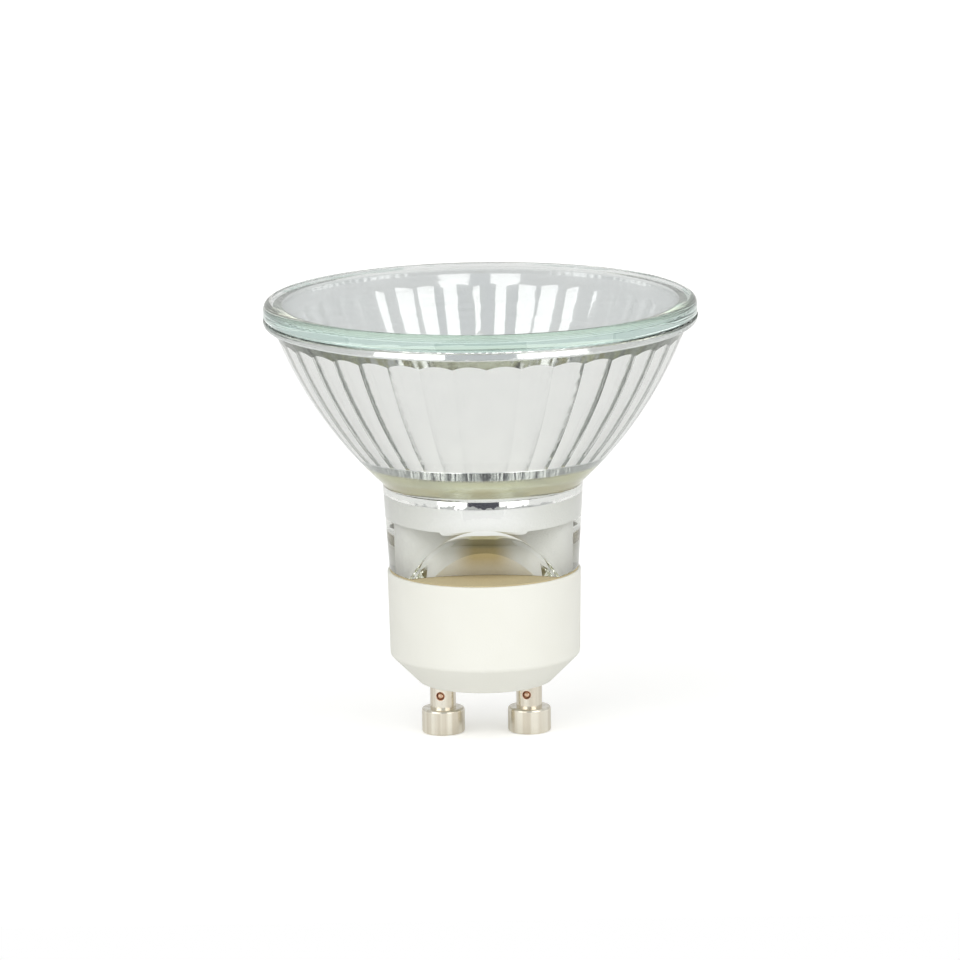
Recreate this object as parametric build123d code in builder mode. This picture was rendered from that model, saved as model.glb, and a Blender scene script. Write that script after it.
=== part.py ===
from math import cos, hypot, radians, sin, sqrt, tan
import os

from build123d import *

# A mains-voltage reflector lamp, 50 mm across, standing on its two pin feet.
# All sizes are millimetres. Z runs up the lamp's axis from the feet to the front
# glass, and the two pins stand on the X axis.

# Stack of heights, from the feet to the top of the front glass
pin_exposed = 6.2
ceramic_height = 13.2
cement_film = 0.15
neck_length = 10.25
bowl_height = 18.3
flange_thickness = 1.0
adhesive_thickness = 0.1
front_glass_thickness = 1.9

# Glass reflector, outside
rim_radius = 25.0
flange_overhang = 1.2
rim_under_round = 0.8
rim_top_round = 0.12
bowl_curve = 47.9
neck_top_radius = 11.6
neck_step = 0.25
neck_edge_round = 0.25
bowl_root_round = 0.8

# Glass reflector, inside
glass_wall = 1.55
flute_count = 36
flute_turn = 6.6
flute_depth = 0.22
flute_start = 4.1
root_step = 1.3
flute_sections = 6
flute_run_out = 0.45
seat_width = 2.15
seat_depth = 0.75
band_height = 2.4
bore_radius = 8.0
bore_floor_rise = 5.75
slot_width = 14.6
slot_thickness = 4.8
slot_round = 2.2

# The two scoops in the neck, one on each broad side of the slot
scoop_rise = 6.55
scoop_angle = 45.0
scoop_radius = 28.7

# The glass spigot that is cemented into the ceramic cup
spigot_clearance = 0.2
spigot_length = 7.75
spigot_ledge = 0.15

# Front glass and the adhesive under it
front_glass_inset = 0.05
front_glass_top_round = 0.85
front_glass_lower_round = 0.25
adhesive_inset = 0.2

# Ceramic base
ceramic_top_radius = 11.2
ceramic_draft = 0.2
ceramic_chamfer = 3.3
ceramic_corner_round = 0.6
ceramic_top_round = 0.2
ceramic_wall = 1.6
ceramic_floor = 3.0
cement_film_inset = 0.3

# Contact pins
pin_spacing = 10.0
foot_radius = 2.5
foot_height = 2.93
foot_round = 0.28
stem_radius = 1.5
shank_radius = 1.2
shank_clearance = 0.05
rivet_radius = 1.9
rivet_height = 0.45
pin_bore_radius = 0.7
pin_bore_floor = 3.4
side_hole_radius = 0.48
side_hole_height = 4.5
side_hole_turn = 12.0

# Quartz capsule
capsule_seat_rise = 2.2
capsule_radius = 4.75
capsule_wall = 0.9
capsule_tube_length = 10.5
capsule_dome_height = 3.4
tip_radius = 0.9
tip_slope = 0.3
capsule_shoulder_height = 2.8
capsule_floor_rise = 0.45
tip_height = 1.5
pinch_width = 7.6
pinch_thickness = 3.0
pinch_length = 11.4
pinch_round = 0.5

# Foils and wires of the capsule
lead_spacing = 4.0
inner_lead_radius = 0.25
inner_lead_rise = 2.0
outer_lead_radius = 0.35
outer_lead_below_pinch = 2.0
foil_width = 2.2
foil_length = 6.4
foil_thickness = 0.05
foil_below_shoulder = 1.6
filament_radius = 0.45
filament_height = 7.6
filament_peak_width = 1.7
filament_straight = 1.4
filament_bend = 0.72
support_radius = 0.17
support_clearance = 0.06
support_root = 1.2

# Cement, wires and fuse in the base
cement_below_bore_edge = 0.9
cement_below_pinch = 0.6
wire_radius = 0.3
wire_bend = 0.85
wire_above_rivets = 1.25
wire_above_pin_bore_floor = 0.5
fuse_wire_radius = 0.1
fuse_wire_length = 2.2
sleeve_radius = 1.0
sleeve_bore_radius = 0.48
sleeve_overlap = 0.5

# Heights and radii that follow from the stack
ceramic_top = pin_exposed + ceramic_height
ceramic_floor_top = pin_exposed + ceramic_floor
ceramic_foot_radius = ceramic_top_radius - ceramic_draft
cup_radius = ceramic_top_radius - ceramic_wall
spigot_radius = cup_radius - spigot_clearance
neck_bottom_radius = ceramic_top_radius - neck_step
joint_height = ceramic_top + cement_film
neck_top = joint_height + neck_length
flange_bottom = neck_top + bowl_height
flange_top = flange_bottom + flange_thickness
front_glass_bottom = flange_top + adhesive_thickness
bowl_mouth_radius = rim_radius - flange_overhang
seat_radius = rim_radius - seat_width
seat_bottom = flange_top - seat_depth

# Centre of the bowl's outer arc, as a radius and a height
chord_width = bowl_mouth_radius - neck_top_radius
chord_length = hypot(chord_width, bowl_height)
arc_reach = sqrt(bowl_curve**2 - (chord_length / 2) ** 2)
arc_centre_radius = (bowl_mouth_radius + neck_top_radius) / 2 - arc_reach * bowl_height / chord_length
arc_centre_height = (neck_top + flange_bottom) / 2 + arc_reach * chord_width / chord_length


def bowl_radius_at(height, inset):
    """Radius, at a height, of the surface that lies an inset inside the bowl's outer arc."""
    return arc_centre_radius + sqrt((bowl_curve - inset) ** 2 - (height - arc_centre_height) ** 2)


def bowl_height_at(radius, inset):
    """Height at which that surface has a given radius."""
    return arc_centre_height - sqrt((bowl_curve - inset) ** 2 - (radius - arc_centre_radius) ** 2)


def ring_point(radius, angle):
    """A point in plan, from its radius and its angle in degrees."""
    return (radius * cos(radians(angle)), radius * sin(radians(angle)))


# Inside of the bowl: a plain root that ends in an upright step, flutes above, and a conical
# band at the mouth
plain_inset = glass_wall + flute_depth
flute_bottom = neck_top + flute_start
flute_top = seat_bottom - flute_run_out
flute_pitch = 360 / flute_count
step_radius = bowl_radius_at(flute_bottom, plain_inset)
step_bottom = flute_bottom - root_step
band_bottom = seat_bottom - band_height
bore_floor = joint_height + bore_floor_rise
bore_edge = bowl_height_at(bore_radius, plain_inset)

# Scoops and spigot
scoop_apex = joint_height + scoop_rise
neck_draft = (neck_top_radius - neck_bottom_radius) / neck_length
scoop_apex_radius = neck_bottom_radius + neck_draft * scoop_rise
scoop_floor_depth = scoop_apex_radius - scoop_rise * tan(radians(scoop_angle))
spigot_half = scoop_floor_depth - spigot_ledge
spigot_bottom = joint_height - spigot_length

# Capsule, from its shoulder: the pinch hangs below and the tube stands above
shoulder_bottom = bore_floor + capsule_seat_rise
shoulder_top = shoulder_bottom + capsule_shoulder_height
tube_top = shoulder_top + capsule_tube_length
dome_top = tube_top + capsule_dome_height
pinch_bottom = shoulder_bottom - pinch_length
cavity_radius = capsule_radius - capsule_wall
cavity_floor = shoulder_top + capsule_floor_rise
cavity_top = dome_top - capsule_wall
tip_direction = (-1, tip_slope)
foil_top = shoulder_bottom - foil_below_shoulder
foil_bottom = foil_top - foil_length
filament_foot = cavity_floor + inner_lead_rise
filament_peak = filament_foot + filament_height
outer_lead_end = pinch_bottom - outer_lead_below_pinch
capsule_cement_top = bore_edge - cement_below_bore_edge
capsule_cement_bottom = pinch_bottom - cement_below_pinch
rivet_top = ceramic_floor_top + rivet_height
wire_crossing = rivet_top + wire_above_rivets
fuse_bottom = outer_lead_end - fuse_wire_length

pieces = {}

# One scoop: a wide round channel that sinks into the neck and stops at the joint
scoop_direction = (0, sin(radians(scoop_angle)), -cos(radians(scoop_angle)))
scoop_plane = Plane(
    origin=(0, -scoop_apex_radius, scoop_apex), x_dir=(1, 0, 0), z_dir=scoop_direction
)
with BuildPart() as scoop:
    with BuildSketch(scoop_plane):
        with Locations((0, scoop_radius)):
            Circle(scoop_radius)
    extrude(amount=2 * scoop_rise, both=True)
    split(bisect_by=Plane.XY.offset(joint_height), keep=Keep.TOP)

# The spigot's outline in plan, round with two flats
with BuildSketch() as spigot_outline:
    Circle(spigot_radius)
    Rectangle(2 * spigot_radius, 2 * spigot_half, mode=Mode.INTERSECT)

# The slot's outline in plan, which the capsule's pinch stands in
with BuildSketch() as slot_outline:
    RectangleRounded(slot_width, slot_thickness, slot_round)

# The fluted reflector, pressed from clear glass in one piece
with BuildPart() as reflector:
    with BuildSketch(Plane.XZ) as outside:
        with BuildLine():
            RadiusArc((neck_top_radius, neck_top), (bowl_mouth_radius, flange_bottom), -bowl_curve)
            Polyline(
                (bowl_mouth_radius, flange_bottom),
                (rim_radius, flange_bottom),
                (rim_radius, flange_top),
                (0, flange_top),
                (0, joint_height),
                (neck_bottom_radius, joint_height),
                (neck_top_radius, neck_top),
            )
        make_face()
        for corner, size in (
            ((neck_bottom_radius, joint_height), neck_edge_round),
            ((neck_top_radius, neck_top), bowl_root_round),
            ((rim_radius, flange_bottom), rim_under_round),
            ((rim_radius, flange_top), rim_top_round),
        ):
            fillet(outside.vertices().sort_by_distance(corner)[0], size)
    revolve(axis=Axis.Z)
    with BuildSketch(Plane.XY.offset(spigot_bottom)):
        add(spigot_outline.sketch)
    extrude(amount=spigot_length)

    # The mouth: an upright seat edge, then the conical band
    with BuildSketch(Plane.XZ):
        with BuildLine():
            Polyline(
                (0, flange_top),
                (seat_radius, flange_top),
                (seat_radius, seat_bottom),
                (seat_radius - band_height, band_bottom),
                (0, band_bottom),
                close=True,
            )
        make_face()
    revolve(axis=Axis.Z, mode=Mode.SUBTRACT)

    # The plain root of the bowl, and the bore that holds the capsule
    with BuildSketch(Plane.XZ):
        with BuildLine():
            RadiusArc((bore_radius, bore_edge), (step_radius, step_bottom), plain_inset - bowl_curve)
            Polyline(
                (step_radius, step_bottom),
                (step_radius, band_bottom),
                (0, band_bottom),
                (0, bore_floor),
                (bore_radius, bore_floor),
                (bore_radius, bore_edge),
            )
        make_face()
    revolve(axis=Axis.Z, mode=Mode.SUBTRACT)

    # The flutes: hollow channels that widen upwards and end as arches in the band
    for level in range(flute_sections):
        height = flute_bottom + (flute_top - flute_bottom) * level / (flute_sections - 1)
        valley = bowl_radius_at(height, glass_wall)
        ridge = valley - flute_depth * valley / bowl_radius_at(flute_top, glass_wall)
        with BuildSketch(Plane.XY.offset(height)):
            with BuildLine():
                for flute in range(flute_count):
                    middle = flute_turn + flute * flute_pitch
                    ThreePointArc(
                        ring_point(ridge, middle - flute_pitch / 2),
                        ring_point(valley, middle),
                        ring_point(ridge, middle + flute_pitch / 2),
                    )
            make_face()
    loft(mode=Mode.SUBTRACT)

    # The slot under the bore, and the two scoops outside
    with BuildSketch(Plane.XY.offset(spigot_bottom)):
        add(slot_outline.sketch)
    extrude(amount=bore_floor - spigot_bottom, mode=Mode.SUBTRACT)
    add(scoop.part, mode=Mode.SUBTRACT)
    add(scoop.part.mirror(Plane.XZ), mode=Mode.SUBTRACT)
pieces["reflector"] = reflector

# The thin ring of clear adhesive on the flange
with BuildPart() as front_glass_adhesive:
    with BuildSketch(Plane.XY.offset(flange_top)):
        Circle(rim_radius - adhesive_inset)
        Circle(seat_radius, mode=Mode.SUBTRACT)
    extrude(amount=adhesive_thickness)
pieces["front_glass_adhesive"] = front_glass_adhesive

# The flat front glass, its edge melted round
with BuildPart() as front_glass:
    with BuildSketch(Plane.XY.offset(front_glass_bottom)):
        Circle(rim_radius - front_glass_inset)
    extrude(amount=front_glass_thickness)
    fillet(front_glass.edges().sort_by(Axis.Z)[-1], front_glass_top_round)
    fillet(front_glass.edges().sort_by(Axis.Z)[0], front_glass_lower_round)
pieces["front_glass"] = front_glass

# The ceramic base: a cup with a chamfered foot and two holes for the pins
with BuildPart() as ceramic_base:
    flat_radius = ceramic_foot_radius - ceramic_chamfer
    chamfer_top = pin_exposed + ceramic_chamfer
    with BuildSketch(Plane.XZ) as ceramic_section:
        with BuildLine():
            Polyline(
                (0, pin_exposed),
                (flat_radius, pin_exposed),
                (ceramic_foot_radius, chamfer_top),
                (ceramic_top_radius, ceramic_top),
                (cup_radius, ceramic_top),
                (cup_radius, ceramic_floor_top),
                (0, ceramic_floor_top),
                close=True,
            )
        make_face()
        for corner, size in (
            ((flat_radius, pin_exposed), ceramic_corner_round),
            ((ceramic_foot_radius, chamfer_top), ceramic_corner_round),
            ((ceramic_top_radius, ceramic_top), ceramic_top_round),
        ):
            fillet(ceramic_section.vertices().sort_by_distance(corner)[0], size)
    revolve(axis=Axis.Z)
    with BuildSketch(Plane.XY.offset(pin_exposed)):
        with GridLocations(pin_spacing, 0, 2, 1):
            Circle(shank_radius + shank_clearance)
    extrude(amount=ceramic_floor, mode=Mode.SUBTRACT)
pieces["ceramic_base"] = ceramic_base

# The base cement: it fills the cup round the spigot and lies as a film under the neck
with BuildPart() as base_cement:
    with BuildSketch(Plane.XY.offset(spigot_bottom)):
        Circle(cup_radius)
        add(spigot_outline.sketch, mode=Mode.SUBTRACT)
    extrude(amount=ceramic_top - spigot_bottom)
    with BuildSketch(Plane.XY.offset(ceramic_top)):
        Circle(ceramic_top_radius - cement_film_inset)
        add(spigot_outline.sketch, mode=Mode.SUBTRACT)
    extrude(amount=cement_film)
pieces["base_cement"] = base_cement

# The capsule's outer form: tube, dome with its exhaust tip, shoulder and flat pinch
with BuildPart() as capsule_form:
    with BuildSketch(Plane.XZ):
        with BuildLine():
            Polyline((0, dome_top + tip_height), (0, shoulder_top), (capsule_radius, shoulder_top))
            Line((capsule_radius, shoulder_top), (capsule_radius, tube_top))
            Spline((capsule_radius, tube_top), (tip_radius, dome_top), tangents=((0, 1), tip_direction))
            Spline((tip_radius, dome_top), (0, dome_top + tip_height), tangents=(tip_direction, (-1, 0)))
        make_face()
    revolve(axis=Axis.Z)
    with BuildSketch(Plane.XY.offset(shoulder_top)):
        Circle(capsule_radius)
    with BuildSketch(Plane.XY.offset(shoulder_bottom)):
        RectangleRounded(pinch_width, pinch_thickness, pinch_round)
    loft()
    with BuildSketch(Plane.XY.offset(pinch_bottom)):
        RectangleRounded(pinch_width, pinch_thickness, pinch_round)
    extrude(amount=pinch_length)

# Foils, inner leads and outer leads, one of each on both sides of the pinch
sealed_in = []
for side, sign in (("left", -1), ("right", 1)):
    lead_x = sign * lead_spacing / 2
    with BuildPart() as foil:
        with BuildSketch(Plane.XY.offset(foil_bottom)):
            with Locations((lead_x, 0)):
                Rectangle(foil_width, foil_thickness)
        extrude(amount=foil_length)
    with BuildPart() as inner_lead:
        with BuildSketch(Plane.XY.offset(foil_top)):
            with Locations((lead_x, 0)):
                Circle(inner_lead_radius)
        extrude(amount=filament_foot - foil_top)
    with BuildPart() as outer_lead:
        with BuildSketch(Plane.XY.offset(outer_lead_end)):
            with Locations((lead_x, 0)):
                Circle(outer_lead_radius)
        extrude(amount=foil_bottom - outer_lead_end)
    for kind, piece in (("foil", foil), ("inner_lead", inner_lead), ("outer_lead", outer_lead)):
        pieces[f"{kind}_{side}"] = piece
        sealed_in.append(piece.part)

# The filament's coil, as a bar of the coil's own diameter bent over in a tall loop
filament_shoulder = filament_foot + filament_straight
with BuildPart() as filament:
    with BuildLine() as filament_path:
        FilletPolyline(
            (-lead_spacing / 2, 0, filament_foot),
            (-lead_spacing / 2, 0, filament_shoulder),
            (-filament_peak_width / 2, 0, filament_peak),
            (filament_peak_width / 2, 0, filament_peak),
            (lead_spacing / 2, 0, filament_shoulder),
            (lead_spacing / 2, 0, filament_foot),
            radius=filament_bend,
        )
    with BuildSketch(Plane(origin=filament_path.line @ 0, z_dir=(0, 0, 1))):
        Circle(filament_radius)
    sweep()
pieces["filament"] = filament

# The support wire: a stem rooted in the quartz, with a ring round the filament's peak
ring_radius = filament_radius + support_clearance + support_radius
with BuildPart() as filament_support:
    with BuildSketch(Plane.XZ):
        with Locations((0, filament_peak + ring_radius)):
            Circle(support_radius)
    revolve(axis=Axis((0, 0, filament_peak), (1, 0, 0)))
    with BuildSketch(Plane.XY.offset(cavity_floor - support_root)):
        Circle(support_radius)
    extrude(amount=filament_peak - ring_radius - cavity_floor + support_root)
pieces["filament_support"] = filament_support
sealed_in.append(filament_support.part)

# The quartz capsule: the outer form, hollow above its shoulder, closed round what it seals in
with BuildPart() as capsule_envelope:
    add(capsule_form.part)
    with BuildSketch(Plane.XZ):
        with BuildLine():
            Polyline(
                (0, cavity_top),
                (0, cavity_floor),
                (cavity_radius, cavity_floor),
                (cavity_radius, tube_top),
            )
            Spline((cavity_radius, tube_top), (0, cavity_top), tangents=((0, 1), (-1, 0)))
        make_face()
    revolve(axis=Axis.Z, mode=Mode.SUBTRACT)
    for item in sealed_in:
        add(item, mode=Mode.SUBTRACT)
pieces["capsule_envelope"] = capsule_envelope

# The white cement that holds the capsule in the bore and the slot
with BuildPart() as capsule_cement:
    with BuildSketch(Plane.XY.offset(capsule_cement_bottom)):
        add(slot_outline.sketch)
    extrude(amount=bore_floor - capsule_cement_bottom)
    with BuildSketch(Plane.XY.offset(bore_floor)):
        Circle(bore_radius)
    extrude(amount=capsule_cement_top - bore_floor)
    add(capsule_form.part, mode=Mode.SUBTRACT)
    for side in ("left", "right"):
        add(pieces[f"outer_lead_{side}"].part, mode=Mode.SUBTRACT)
pieces["capsule_cement"] = capsule_cement

# Contact pins: a foot and a stem below the ceramic, a shank through it and a riveted
# head on its floor, bored for the wire, which shows in the hole in the stem
for side, sign in (("left", -1), ("right", 1)):
    pin_x = sign * pin_spacing / 2
    pin_plane = Plane(origin=(pin_x, 0, 0), x_dir=(1, 0, 0), z_dir=(0, -1, 0))
    with BuildPart() as contact_pin:
        with BuildSketch(pin_plane) as pin_section:
            with BuildLine():
                Polyline(
                    (0, 0),
                    (foot_radius, 0),
                    (foot_radius, foot_height),
                    (stem_radius, foot_height),
                    (stem_radius, pin_exposed),
                    (shank_radius, pin_exposed),
                    (shank_radius, ceramic_floor_top),
                    (rivet_radius, ceramic_floor_top),
                    (rivet_radius, rivet_top),
                    (pin_bore_radius, rivet_top),
                    (pin_bore_radius, pin_bore_floor),
                    (0, pin_bore_floor),
                    close=True,
                )
            make_face()
            foot_corners = pin_section.vertices().group_by(Axis.X)[-1]
            fillet(foot_corners, foot_round)
            fillet(pin_section.vertices().sort_by_distance((rivet_radius, rivet_top))[0], rivet_height / 2)
        revolve(axis=Axis((pin_x, 0, 0), (0, 0, 1)))
        hole_direction = (-sin(radians(side_hole_turn)), -cos(radians(side_hole_turn)), 0)
        with BuildSketch(Plane(origin=(pin_x, 0, side_hole_height), z_dir=hole_direction)):
            Circle(side_hole_radius)
        extrude(amount=2 * stem_radius, mode=Mode.SUBTRACT)
    pieces[f"contact_pin_{side}"] = contact_pin

# Connecting wires, from the outer leads down into the pins; the right one hangs on the fuse
for side, sign, wire_top in (("left", -1, outer_lead_end), ("right", 1, fuse_bottom)):
    lead_x = sign * lead_spacing / 2
    pin_x = sign * pin_spacing / 2
    with BuildPart() as connecting_wire:
        with BuildLine() as wire_path:
            FilletPolyline(
                (lead_x, 0, wire_top),
                (lead_x, 0, wire_crossing),
                (pin_x, 0, wire_crossing),
                (pin_x, 0, pin_bore_floor + wire_above_pin_bore_floor),
                radius=wire_bend,
            )
        with BuildSketch(Plane(origin=wire_path.line @ 0, z_dir=(0, 0, -1))):
            Circle(wire_radius)
        sweep()
    pieces[f"connecting_wire_{side}"] = connecting_wire

# The fuse: a fine wire between the right outer lead and its connecting wire, in a sleeve
with BuildPart() as fuse_wire:
    with BuildSketch(Plane.XY.offset(fuse_bottom)):
        with Locations((lead_spacing / 2, 0)):
            Circle(fuse_wire_radius)
    extrude(amount=fuse_wire_length)
pieces["fuse_wire"] = fuse_wire
with BuildPart() as fuse_sleeve:
    with BuildSketch(Plane.XY.offset(fuse_bottom - sleeve_overlap)):
        with Locations((lead_spacing / 2, 0)):
            Circle(sleeve_radius)
            Circle(sleeve_bore_radius, mode=Mode.SUBTRACT)
    extrude(amount=fuse_wire_length + 2 * sleeve_overlap)
pieces["fuse_sleeve"] = fuse_sleeve

os.makedirs("parts", exist_ok=True)
for name, piece in pieces.items():
    piece.part.label = name
    export_step(piece.part, f"parts/{name}.step")
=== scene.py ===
from math import ceil, cos, hypot, pi, radians, sin, sqrt, tan

import bpy
from mathutils import Matrix, Vector


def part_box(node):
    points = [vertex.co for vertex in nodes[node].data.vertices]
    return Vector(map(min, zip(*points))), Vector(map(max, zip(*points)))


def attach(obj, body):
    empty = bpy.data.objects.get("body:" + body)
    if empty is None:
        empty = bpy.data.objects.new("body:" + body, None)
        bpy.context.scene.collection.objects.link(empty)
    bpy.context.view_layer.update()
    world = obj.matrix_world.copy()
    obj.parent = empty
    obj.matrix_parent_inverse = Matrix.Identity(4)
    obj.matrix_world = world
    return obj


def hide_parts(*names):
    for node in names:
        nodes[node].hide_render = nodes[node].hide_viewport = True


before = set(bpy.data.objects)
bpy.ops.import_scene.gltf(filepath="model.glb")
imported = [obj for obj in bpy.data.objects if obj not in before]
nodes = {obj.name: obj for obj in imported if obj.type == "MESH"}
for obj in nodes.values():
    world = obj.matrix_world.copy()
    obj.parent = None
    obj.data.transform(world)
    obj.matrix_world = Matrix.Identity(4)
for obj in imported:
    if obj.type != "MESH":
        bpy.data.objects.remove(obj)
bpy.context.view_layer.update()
mm = 0.001

# The filament: fine tungsten wire wound into a coil, and the coil bent over in a tall loop
# with its ends slipped over the two inner leads. Drawn wire, dark grey and a little matt.


class Shade:
    """A value, colour or shader in a material. Arithmetic on a value adds Math nodes."""

    def __init__(self, tree, socket=None):
        self.tree = tree
        self.socket = socket

    def node(self, kind, settings, inputs, output=0):
        """Adds a node of a type: its settings first, then its sockets' values or links."""
        made = self.tree.nodes.new(kind)
        for name, setting in settings.items():
            setattr(made, name, setting)
        for name, given in inputs.items():
            if isinstance(given, Shade):
                self.tree.links.new(given.socket, made.inputs[name])
            else:
                made.inputs[name].default_value = given
        return Shade(self.tree, made.outputs[output]) if made.outputs else None

    def math(self, operation, *terms):
        return self.node("ShaderNodeMath", {"operation": operation}, dict(enumerate(terms)))

    def __add__(self, other):
        return self.math("ADD", self, other)

    def __sub__(self, other):
        return self.math("SUBTRACT", self, other)

    def __rsub__(self, other):
        return self.math("SUBTRACT", other, self)

    def __mul__(self, other):
        return self.math("MULTIPLY", self, other)

    def __gt__(self, other):
        return self.math("GREATER_THAN", self, other)

    def __lt__(self, other):
        return self.math("LESS_THAN", self, other)

    def root(self):
        return self.math("SQRT", self)

    def parts(self):
        """The three values of a vector."""
        return [self.node("ShaderNodeSeparateXYZ", {}, {0: self}, axis) for axis in "XYZ"]

    __radd__ = __add__
    __rmul__ = __mul__


def start_finish(name):
    """A new material with an empty tree, and the shaded point in millimetres."""
    material = bpy.data.materials.new(name)
    material.use_nodes = True
    material.node_tree.nodes.clear()
    point = Shade(material.node_tree).node("ShaderNodeTexCoord", {}, {}, "Object")
    return material, point.node("ShaderNodeVectorMath", {"operation": "SCALE"}, {0: point, "Scale": 1 / mm})


def end_finish(material, shader, volume=None):
    """Links a shader, and the glass's tint if there is one, to the material's output."""
    ends = {"Surface": shader}
    if volume:
        ends["Volume"] = volume
    shader.node("ShaderNodeOutputMaterial", {}, ends)
    return material


def grain(point, size, detail=3.0):
    """Soft noise between 0 and 1 whose blotches are about that many millimetres across."""
    return point.node("ShaderNodeTexNoise", {}, {"Vector": point, "Scale": 1 / size, "Detail": detail})


def mix(share, first, second):
    """One colour turning into another as a value goes from 0 to 1."""
    return share.node("ShaderNodeMix", {"data_type": "RGBA"}, {0: share, 6: first, 7: second}, 2)


def relief(height, depth):
    """A bump whose full height is that many millimetres."""
    return height.node("ShaderNodeBump", {}, {"Height": height, "Strength": 1.0, "Distance": depth * mm})


def rgb(red, green, blue):
    return (red, green, blue, 1.0)


def wear(name, material):
    """Gives a CAD node its finish."""
    nodes[name].material_slots[0].material = material


def metal_finish(name, colour, dull_colour, roughness, mark_size):
    """A bare drawn or rolled metal, with faint cloudiness and fine marks."""
    material, point = start_finish(name)
    cloud = grain(point, mark_size * 6)
    marks = grain(point, mark_size, 5.0)
    shader = point.node("ShaderNodeBsdfPrincipled", {}, {
        "Base Color": mix(cloud, colour, dull_colour),
        "Metallic": 1.0,
        "Roughness": roughness + 0.15 * cloud,
        "Normal": relief(marks, mark_size * 0.1),
    })
    return end_finish(material, shader)


bend_steps = 8


def rounded_path(corners, bend, step):
    """Points along a line through the corners, each corner rounded by the bend radius."""
    path = [corners[0]]
    for before, corner, after in zip(corners, corners[1:], corners[2:]):
        inward, onward = (before - corner).normalized(), (after - corner).normalized()
        half = inward.angle(onward) / 2
        centre = corner + (inward + onward).normalized() * (bend / sin(half))
        first = corner + inward * (bend / tan(half)) - centre
        swing = first.rotation_difference(corner + onward * (bend / tan(half)) - centre)
        for turn in range(bend_steps + 1):
            path.append(centre + Matrix.Rotation(swing.angle * turn / bend_steps, 3, swing.axis) @ first)
    path.append(corners[-1])
    even = []
    for start, end in zip(path, path[1:]):
        pieces = max(1, ceil((end - start).length / step))
        even += [start.lerp(end, piece / pieces) for piece in range(pieces)]
    return even + [path[-1]]


def tube_piece(name, path, radius, sides, material):
    """A round wire along the points of a path, its ends capped."""
    vertices, faces = [], []
    across = (path[1] - path[0]).orthogonal().normalized()
    for index, spot in enumerate(path):
        along = (path[min(index + 1, len(path) - 1)] - path[max(index - 1, 0)]).normalized()
        across = (across - along * across.dot(along)).normalized()
        other = along.cross(across)
        for side in range(sides):
            angle = 2 * pi * side / sides
            vertices.append((spot + (across * cos(angle) + other * sin(angle)) * radius) * mm)
    for ring in range(len(path) - 1):
        for side in range(sides):
            a, b = ring * sides + side, ring * sides + (side + 1) % sides
            faces.append((a, b, b + sides, a + sides))
    faces.append(tuple(reversed(range(sides))))
    faces.append(tuple(range(len(vertices) - sides, len(vertices))))
    mesh = bpy.data.meshes.new(name)
    mesh.from_pydata(vertices, [], faces)
    for face in mesh.polygons:
        face.use_smooth = len(face.vertices) == 4
    mesh.materials.append(material)
    piece = bpy.data.objects.new(name, mesh)
    bpy.context.scene.collection.objects.link(piece)
    return piece


tungsten = metal_finish("tungsten", rgb(0.42, 0.41, 0.40), rgb(0.28, 0.27, 0.27), 0.30, 0.05)
coil_wire_radius = 0.075
coil_pitch = 0.24
points_per_turn = 12
wire_sides = 6
filament_low, filament_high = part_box("filament")
coil_radius = (filament_high.y - filament_low.y) / 2 / mm
lead_x = filament_high.x / mm - coil_radius
filament_foot = filament_low.z / mm
filament_peak = filament_high.z / mm - coil_radius
filament_straight = 1.4
filament_peak_half_width = 0.85
filament_bend = 0.72
loop_line = rounded_path(
    [
        Vector((-lead_x, 0, filament_foot)),
        Vector((-lead_x, 0, filament_foot + filament_straight)),
        Vector((-filament_peak_half_width, 0, filament_peak)),
        Vector((filament_peak_half_width, 0, filament_peak)),
        Vector((lead_x, 0, filament_foot + filament_straight)),
        Vector((lead_x, 0, filament_foot)),
    ],
    filament_bend,
    coil_pitch / points_per_turn,
)
coil_line = []
travel = 0.0
for index, spot in enumerate(loop_line):
    along = (loop_line[min(index + 1, len(loop_line) - 1)] - loop_line[max(index - 1, 0)]).normalized()
    travel += (spot - loop_line[max(index - 1, 0)]).length
    outward = along.cross(Vector((0, 1, 0)))
    angle = 2 * pi * travel / coil_pitch
    winding = outward * cos(angle) + Vector((0, 1, 0)) * sin(angle)
    coil_line.append(spot + winding * (coil_radius - coil_wire_radius))
filament_coil = tube_piece("filament_coil", coil_line, coil_wire_radius, wire_sides, tungsten)
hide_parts("filament")
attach(filament_coil, "root")

# Support wire, inner leads, foils and outer leads: molybdenum, drawn or rolled, which the
# quartz is pinched round while it is soft. The wires are spot-welded to the foils' ends.
molybdenum = metal_finish("molybdenum", rgb(0.62, 0.61, 0.61), rgb(0.48, 0.47, 0.47), 0.28, 0.04)
foil_metal = metal_finish("rolled_foil", rgb(0.55, 0.54, 0.55), rgb(0.42, 0.42, 0.44), 0.22, 0.12)
wear("filament_support", molybdenum)
for side in ("left", "right"):
    wear(f"inner_lead_{side}", molybdenum)
    wear(f"outer_lead_{side}", molybdenum)
    wear(f"foil_{side}", foil_metal)

# The capsule's envelope: a drawn quartz tube with a domed end, where the exhaust tube was
# melted off to a tip, and a flat pinch. Fire-polished, so only slightly uneven.
quartz_index = 1.46


def cover(mask, below, above):
    """One shader over another where a mask is 1."""
    return mask.node("ShaderNodeMixShader", {}, {0: mask, 1: below, 2: above})


def straight_through(point):
    """No surface at all: whatever is behind shows as it is."""
    return point.node("ShaderNodeBsdfTransparent", {}, {})


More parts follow.
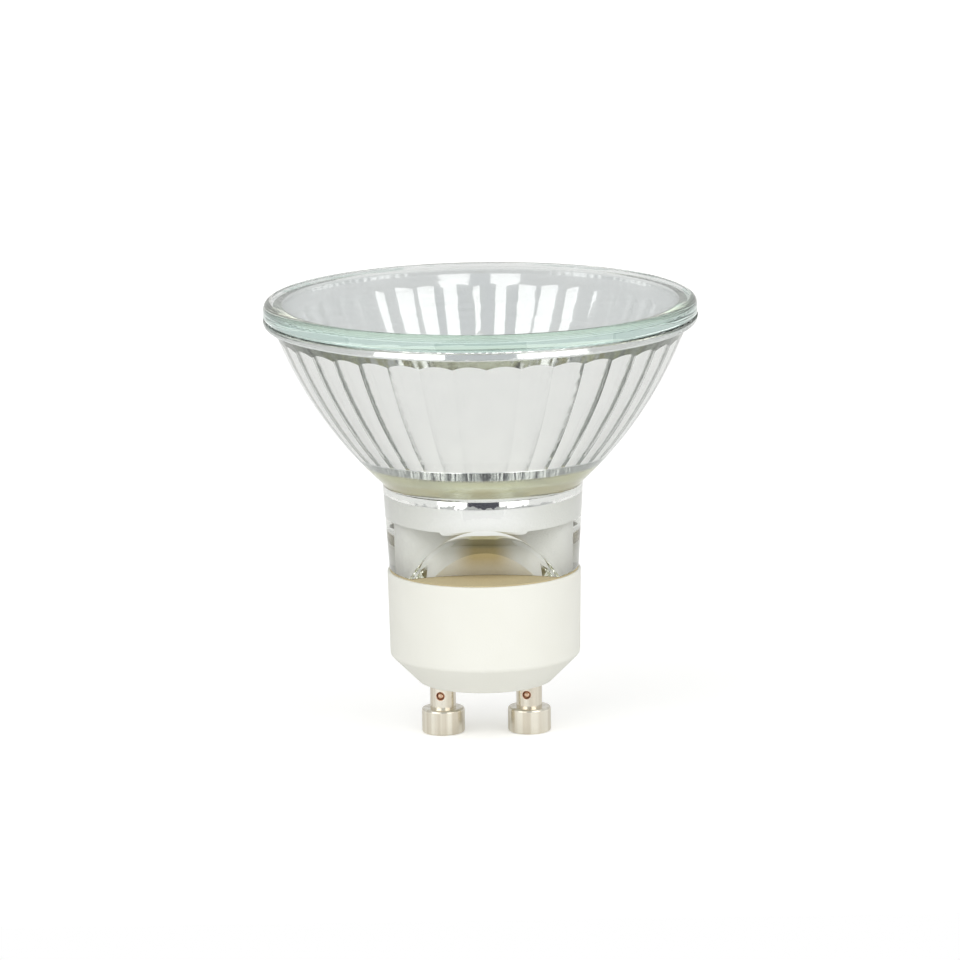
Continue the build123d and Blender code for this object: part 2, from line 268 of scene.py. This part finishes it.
def clear_shader(point, colour, index, normal):
    """Clear glass. Shadow and diffuse rays pass straight through it, so it lets light in."""
    glass = point.node("ShaderNodeBsdfPrincipled", {}, {
        "Base Color": colour,
        "Roughness": 0.0,
        "IOR": index,
        "Transmission Weight": 1.0,
        "Normal": normal,
    })
    shadow = point.node("ShaderNodeLightPath", {}, {}, "Is Shadow Ray")
    diffuse = point.node("ShaderNodeLightPath", {}, {}, "Is Diffuse Ray")
    return cover(shadow.math("MAXIMUM", shadow, diffuse), glass, straight_through(point))


quartz, point = start_finish("quartz")
waves = relief(grain(point, 1.8, 1.0), 0.012)
end_finish(quartz, clear_shader(point, rgb(0.98, 0.98, 0.98), quartz_index, waves))
wear("capsule_envelope", quartz)

# The reflector: clear glass pressed hot in one piece, fluted inside. Its inside is coated
# with vapour-deposited metal, which shows through the glass and stops raggedly in the bore.
# Where a finish fades, a pair of values says where the change starts and where it ends.
glass_index = 1.51
bowl_curve = 47.9
neck_top = 29.8
neck_top_radius = 11.6
flange_bottom = 48.1
bowl_mouth_radius = 23.8
seat_radius = 22.85
adhesive_low, adhesive_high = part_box("front_glass_adhesive")
adhesive_radius = adhesive_high.x / mm
adhesive_top = adhesive_high.z / mm
flange_top = adhesive_low.z / mm
bore_radius = 8.0
cement_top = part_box("capsule_cement")[1].z / mm
joint_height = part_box("base_cement")[1].z / mm
least_wall = 0.5
face_reach = 0.02
neck_foot_radius = 10.95
neck_draft = (neck_top_radius - neck_foot_radius) / (neck_top - joint_height)
scoop_apex = 26.1
scoop_apex_radius = neck_foot_radius + neck_draft * (scoop_apex - joint_height)
scoop_curve = 28.7
rim_round = 1.0
rim_drop = 0.24
coating_bottom = 28.35
coating_top = 48.75
coating_raggedness = 1.6
chord_width = bowl_mouth_radius - neck_top_radius
chord_height = flange_bottom - neck_top
chord = hypot(chord_width, chord_height)
reach = sqrt(bowl_curve**2 - (chord / 2) ** 2)
arc_centre_radius = (bowl_mouth_radius + neck_top_radius) / 2 - reach * chord_height / chord
arc_centre_height = (neck_top + flange_bottom) / 2 + reach * chord_width / chord
mirror_colour = rgb(0.88, 0.885, 0.88)
mirror_shadow = rgb(0.82, 0.83, 0.83)
stain_colour = rgb(0.77, 0.79, 0.62)
stain_bottom = (29.6, 30.2)
stain_top = (32.2, 32.8)
# Where the slot's cement turns brown in the middle, and where a darker band tops that patch.
brown_patch_side = (1.0, 4.4)
brown_patch_bottom = (20.0, 22.5)
brown_patch_top = 25.6
brown_patch_low_share = 0.4
dark_band_bottom = (24.6, 25.3)
# Painted shade: the slot's cement is painted greyer below the bore and towards its sides, where less light
# reaches it.
slot_shade = 0.5
slot_shade_top = (25.0, 27.2)
slot_shade_side = (1.5, 7.0)
white_cement_colour = rgb(0.88, 0.89, 0.89)
white_cement_grit = rgb(0.80, 0.81, 0.81)
# Painted shade: the grey that the slot's cement is painted towards.
slot_painted_shade_colour = rgb(0.62, 0.63, 0.58)
brown_patch_colour = rgb(0.54, 0.45, 0.24)
brown_patch_grit = rgb(0.44, 0.36, 0.18)
dark_band_colour = rgb(0.34, 0.31, 0.18)
wetted_cement_colour = rgb(0.53, 0.45, 0.26)
wetted_cement_grit = rgb(0.40, 0.33, 0.17)


def cement_shader(point, colour, grit):
    """Set cement: a chalky body with sand grains and small pores."""
    sand = grain(point, 0.25, 6.0)
    return point.node("ShaderNodeBsdfPrincipled", {}, {
        "Base Color": mix(sand, colour, grit),
        "Roughness": 0.9,
        "Normal": relief(sand, 0.05),
    })


def mirror_shader(point, stain):
    """The metal coating, hazy and uneven as a film on pressed glass is, and stained by heat."""
    haze = grain(point, 3.0, 4.0)
    return point.node("ShaderNodeBsdfPrincipled", {}, {
        "Base Color": mix(stain, mix(haze, mirror_colour, mirror_shadow), stain_colour),
        "Metallic": 1 - 0.4 * stain,
        "Roughness": 0.03 + 0.05 * haze + 0.1 * stain,
        "Normal": relief(grain(point, 1.6, 2.0), 0.006),
    })


def slope(value, low, high):
    """A smooth rise from 0 to 1 between two values."""
    return value.node("ShaderNodeMapRange", {"interpolation_type": "SMOOTHSTEP"},
                      {"Value": value, "From Min": low, "From Max": high})


pressed_glass, point = start_finish("pressed_glass")
x, y, z = point.parts()
radius = (x * x + y * y).root()
off_arc = radius - arc_centre_radius
below_arc = z - arc_centre_height
from_arc_centre = (off_arc * off_arc + below_arc * below_arc).root()
ragged = (grain(point, 0.7, 4.0) - 0.5) * coating_raggedness
inside_bowl = (from_arc_centre < bowl_curve - least_wall) * (radius < seat_radius + face_reach)
coated = inside_bowl * (z > ragged + coating_bottom) * (z < coating_top + 0.3 * ragged)
in_bore = (radius < bore_radius + face_reach) * (z < cement_top)
in_cup = (z < joint_height + face_reach) * (1 - in_bore)
glued = (radius > seat_radius + face_reach) * (radius < adhesive_radius - face_reach)
bonded = (z > flange_top - face_reach) * glued
stain = slope(z, *stain_bottom) * (1 - slope(z, *stain_top))
skin_depth = neck_foot_radius + neck_draft * (z - joint_height) - radius
scoop_down = sin(pi / 4) * (y.math("ABSOLUTE", y) - scoop_apex_radius - z + scoop_apex) - scoop_curve
scoop_depth = (x * x + scoop_down * scoop_down).root() - scoop_curve
from_rim = skin_depth.math("MAXIMUM", skin_depth, scoop_depth)
rim_fall = 1 - slope(from_rim, 0.0, rim_round)
waves = relief(0.08 * grain(point, 4.0, 1.0) - rim_fall, rim_drop)
glass = clear_shader(point, rgb(0.985, 0.99, 0.98), glass_index, waves)
from_middle = x.math("ABSOLUTE", x)
# A brown patch in the middle of the slot's cement, fading towards its sides and downwards, with a darker
# band just under the bore.
brown_patch_fade = brown_patch_low_share + (1 - brown_patch_low_share) * slope(z, *brown_patch_bottom)
brown_patch_mask = (1 - slope(from_middle, *brown_patch_side)) * (z < brown_patch_top) * brown_patch_fade
dark_band_share = slope(z, *dark_band_bottom)
# Painted shade: below the bore and towards the sides the slot's cement is painted half-way to a grey.
below_bore = 1 - slope(z, *slot_shade_top)
painted_slot_shade = slot_shade * z.math("MAXIMUM", below_bore, slope(from_middle, *slot_shade_side))
body = mix(brown_patch_mask, mix(painted_slot_shade, white_cement_colour, slot_painted_shade_colour),
           mix(dark_band_share, brown_patch_colour, dark_band_colour))
grit = mix(brown_patch_mask, mix(painted_slot_shade, white_cement_grit, slot_painted_shade_colour),
           mix(dark_band_share, brown_patch_grit, dark_band_colour))
surface = cover(in_bore, glass, cement_shader(point, body, grit))
surface = cover(coated, surface, mirror_shader(point, stain))
surface = cover(in_cup, surface, cement_shader(point, wetted_cement_colour, wetted_cement_grit))
surface = cover(bonded, surface, straight_through(point))
tint = point.node("ShaderNodeVolumeAbsorption", {}, {"Color": rgb(0.86, 0.88, 0.68), "Density": 10.0})
end_finish(pressed_glass, surface, tint)
wear("reflector", pressed_glass)

# The capsule's cement: white, pressed into the bore and the slot round the pinch while
# wet, then baked. It is chalky and sandy.
cement_gap = 0.02


def stand_back(name):
    """Draws a cement's skin in by a hair, so that the glass that it wets is met first."""
    gap = nodes[name].modifiers.new("gap", "DISPLACE")
    gap.strength = -cement_gap * mm
    gap.mid_level = 0.0


white_cement, point = start_finish("white_cement")
end_finish(white_cement, cement_shader(point, white_cement_colour, white_cement_grit))
wear("capsule_cement", white_cement)
stand_back("capsule_cement")

# The adhesive: a bead of clear silicone, squeezed to a thin ring between the flange and
# the front glass. It wets both, so light goes straight through it.
silicone, point = start_finish("silicone")
end_finish(silicone, straight_through(point))
wear("front_glass_adhesive", silicone)

# The front glass: a flat disc cut from drawn sheet, its edge melted round. Iron in the
# sheet tints it, which shows only along its width: clear from above, teal from the side.
melted_radius = 24.0
melted_height = (50.3, 50.9)
sheet_glass, point = start_finish("sheet_glass")
x, y, z = point.parts()
radius = (x * x + y * y).root()
glued = (radius > seat_radius) * (radius < adhesive_radius - face_reach)
bonded = (z < adhesive_top + face_reach) * glued
waves = relief(grain(point, 6.0, 1.0), 0.01)
melted = slope(z, *melted_height) * (radius > melted_radius)
surface_colour = mix(melted, rgb(1.0, 1.0, 1.0), rgb(0.96, 0.95, 0.86))
sheet = clear_shader(point, surface_colour, glass_index, waves)
tint = point.node("ShaderNodeVolumeAbsorption", {}, {"Color": rgb(0.67, 0.89, 0.82), "Density": 20.0})
end_finish(sheet_glass, cover(bonded, sheet, straight_through(point)), tint)
wear("front_glass", sheet_glass)

# The ceramic base: a cup pressed from steatite powder and fired, left unglazed. Warm
# white, with faint clouds and a dry, fine-grained skin.
steatite, point = start_finish("steatite")
clouds = grain(point, 5.0, 3.0)
skin = grain(point, 0.18, 4.0)
end_finish(steatite, point.node("ShaderNodeBsdfPrincipled", {}, {
    "Base Color": mix(clouds, rgb(0.82, 0.82, 0.76), rgb(0.79, 0.785, 0.715)),
    "Roughness": 0.45 + 0.2 * skin,
    "Normal": relief(skin, 0.012),
}))
wear("ceramic_base", steatite)

# The contact pins: turned brass, nickel-plated, each riveted over the cup's floor. Braze
# the colour of copper stands as a bead in the stem's drilled hole, and stains its edge.
side_hole_height = 4.5
side_hole_turn = radians(12.0)
side_hole_radius = 0.48
stained_edge = 0.09
stem_radius = 1.5
bead_radius = 0.42
bead_depth = 0.4
braze = metal_finish("braze", rgb(0.82, 0.62, 0.48), rgb(0.58, 0.38, 0.25), 0.25, 0.05)
for side in ("left", "right"):
    low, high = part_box(f"contact_pin_{side}")
    pin_x = (low.x + high.x) / 2 / mm
    nickel, point = start_finish(f"nickel_plate_{side}")
    x, y, z = point.parts()
    rings = grain(point.node("ShaderNodeCombineXYZ", {}, {"Z": z}), 0.09, 2.0)
    clouds = grain(point, 1.2, 3.0)
    around = point.node("ShaderNodeCombineXYZ", {}, {"X": x, "Y": y})
    # Painted reflection: the plating's colour is painted in lighter and darker vertical streaks round the
    # pin, standing in for mirrored bands.
    painted_reflection_streaks = slope(grain(around, 0.9, 2.0), 0.35, 0.62)
    sideways = (x - pin_x) * cos(side_hole_turn) - y * sin(side_hole_turn)
    upward = z - side_hole_height
    from_hole = (sideways * sideways + upward * upward).root()
    stained = (from_hole < side_hole_radius + stained_edge * clouds) * (y < 0.0)
    plate = mix(painted_reflection_streaks, rgb(0.90, 0.86, 0.76), rgb(0.73, 0.67, 0.56))
    end_finish(nickel, point.node("ShaderNodeBsdfPrincipled", {}, {
        "Base Color": mix(stained, plate, rgb(0.85, 0.52, 0.36)),
        "Metallic": 1 - 0.8 * stained,
        "Roughness": 0.14 + 0.12 * clouds,
        "Normal": relief(rings, 0.004),
    }))
    wear(f"contact_pin_{side}", nickel)
    bpy.ops.mesh.primitive_uv_sphere_add(segments=32, ring_count=16, radius=bead_radius * mm)
    bead = bpy.context.active_object
    bead.name = f"braze_bead_{side}"
    bead_reach = stem_radius - bead_depth
    bead.location = Vector((
        pin_x - bead_reach * sin(side_hole_turn), -bead_reach * cos(side_hole_turn), side_hole_height
    )) * mm
    bead.data.shade_smooth()
    bead.data.materials.append(braze)
    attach(bead, "root")

# The connecting wires: tinned copper, soldered down in the pins' bores, and the fuse, a
# fine wire in a short ceramic sleeve.
tinned = metal_finish("tinned_wire", rgb(0.76, 0.74, 0.71), rgb(0.62, 0.60, 0.57), 0.25, 0.06)
for name in ("connecting_wire_left", "connecting_wire_right", "fuse_wire"):
    wear(name, tinned)
sleeve, point = start_finish("sleeve_ceramic")
skin = grain(point, 0.2, 4.0)
end_finish(sleeve, point.node("ShaderNodeBsdfPrincipled", {}, {
    "Base Color": mix(skin, rgb(0.86, 0.85, 0.82), rgb(0.78, 0.76, 0.72)),
    "Roughness": 0.6,
    "Normal": relief(skin, 0.01),
}))
wear("fuse_sleeve", sleeve)

# The base cement: tan, poured into the cup round the neck's spigot and baked. It is paler
# where it is bare than where the glass wets it.
tan_cement, point = start_finish("tan_cement")
end_finish(tan_cement, cement_shader(point, rgb(0.65, 0.56, 0.36), rgb(0.52, 0.44, 0.26)))
wear("base_cement", tan_cement)
stand_back("base_cement")

# The floor: a plain white sweep. The rays that the camera, glass and metal send see it a
# little brighter than it is lit, and the lamp's shadow stays on it.
floor_half_width = 3000.0
floor_front_edge = -85.0
floor_glow = rgb(0.28, 0.28, 0.28)
mirrored_share = 0.165
floor_mesh = bpy.data.meshes.new("floor")
floor_mesh.from_pydata(
    [(across * floor_half_width * mm, along * mm, 0.0)
     for across, along in ((-1, floor_front_edge), (1, floor_front_edge),
                           (1, floor_half_width), (-1, floor_half_width))],
    [],
    [(0, 1, 2, 3)],
)
floor = bpy.data.objects.new("floor", floor_mesh)
bpy.context.scene.collection.objects.link(floor)
paper, point = start_finish("paper")
seen = point.node("ShaderNodeLightPath", {}, {}, "Is Camera Ray")
for kind in ("Is Glossy Ray", "Is Transmission Ray"):
    ray = point.node("ShaderNodeLightPath", {}, {}, kind)
    seen = seen.math("MAXIMUM", seen, mirrored_share * ray)
lit = point.node("ShaderNodeBsdfDiffuse", {}, {"Color": rgb(0.92, 0.92, 0.91)})
glow_colour = mix(seen, rgb(0.0, 0.0, 0.0), floor_glow)
glow = point.node("ShaderNodeEmission", {}, {"Color": glow_colour, "Strength": 1.0})
end_finish(paper, point.node("ShaderNodeAddShader", {}, {0: lit, 1: glow}))
floor_mesh.materials.append(paper)

# The room: an even pale light for matt surfaces. Glass and metal see pale walls and, to
# each side of the camera, a soft box: between the two and below the horizon it is dark.
low_edge = -0.35
soft_box = (20, 62)
soft_box_foot = (24, 74)
shaded_wall = (74, 110)
room = bpy.data.worlds.new("room")
bpy.context.scene.world = room
room.use_nodes = True
room.node_tree.nodes.clear()
heading = Shade(room.node_tree).node("ShaderNodeTexCoord", {}, {}, "Generated")
x, y, z = heading.parts()
camera_ray = heading.node("ShaderNodeLightPath", {}, {}, "Is Camera Ray")
glossy_ray = heading.node("ShaderNodeLightPath", {}, {}, "Is Glossy Ray")
clear_ray = heading.node("ShaderNodeLightPath", {}, {}, "Is Transmission Ray")
towards_camera = (0 - y).math("ARCTAN2", x, 0 - y)
off_camera = towards_camera.math("ABSOLUTE", towards_camera)


def sector(start, end):
    """1 in the headings between two angles from the camera's, to either side."""
    return (off_camera > radians(start)) * (off_camera < radians(end))


above = z > 0.0
low = (z > low_edge) * (z < 0.0)
between_boxes = above * (off_camera < radians(soft_box[0]))
surroundings = mix(between_boxes, rgb(0.68, 0.69, 0.69), rgb(0.60, 0.63, 0.65))
dark_gap = low * (off_camera < radians(soft_box_foot[0]))
surroundings = mix(dark_gap, surroundings, rgb(0.08, 0.08, 0.10))
surroundings = mix(low * sector(*shaded_wall), surroundings, rgb(0.26, 0.27, 0.29))
boxes = above * sector(*soft_box) + low * sector(*soft_box_foot)
surroundings = mix(boxes, surroundings, rgb(1.85, 1.85, 1.85))
mirrored = glossy_ray.math("MAXIMUM", glossy_ray, clear_ray)
light = mix(mirrored, rgb(0.56, 0.56, 0.56), surroundings)
light = mix(camera_ray, light, rgb(1.0, 1.0, 1.0))
background = heading.node("ShaderNodeBackground", {}, {"Color": light, "Strength": 1.0})
background.node("ShaderNodeOutputWorld", {}, {"Surface": background})

# The lamps: two broad soft ones, above the camera and to each side of it, and a low one
# behind it. Glass and metal don't mirror them.
lamp_width = radians(60)
for name, turn, climb, power in (("key", -42.0, 40.0, 0.95), ("fill", 52.0, 34.0, 0.9),
                                ("front", 0.0, 4.0, 0.65)):
    sun = bpy.data.lights.new(name, "SUN")
    sun.energy = power
    sun.angle = lamp_width
    lamp = bpy.data.objects.new(name, sun)
    lamp.rotation_euler = (radians(90 - climb), 0.0, radians(turn))
    lamp.visible_glossy = False
    lamp.visible_transmission = False
    bpy.context.scene.collection.objects.link(lamp)

# The camera, at the photograph's angle: a long lens from slightly above.
camera_distance = 814.73
camera_height = 194.54
camera_pitch = 0.1996
camera_roll = -0.0152
camera_yaw = -0.0004
lens = bpy.data.cameras.new("camera")
lens.sensor_width = 36.0
lens.lens = 270.03
camera = bpy.data.objects.new("camera", lens)
bpy.context.scene.collection.objects.link(camera)
camera.matrix_world = (
    Matrix.Translation((0.0, -camera_distance * mm, camera_height * mm))
    @ Matrix.Rotation(-camera_yaw, 4, "Z")
    @ Matrix.Rotation(pi / 2 - camera_pitch, 4, "X")
    @ Matrix.Rotation(camera_roll, 4, "Z")
)
bpy.context.scene.camera = camera
bpy.context.scene.view_settings.view_transform = "Standard"

# Light goes many times to and fro between the glass's skin and its coating.
cycles = bpy.context.scene.cycles
cycles.max_bounces = 28
cycles.glossy_bounces = 20
cycles.transmission_bounces = 24
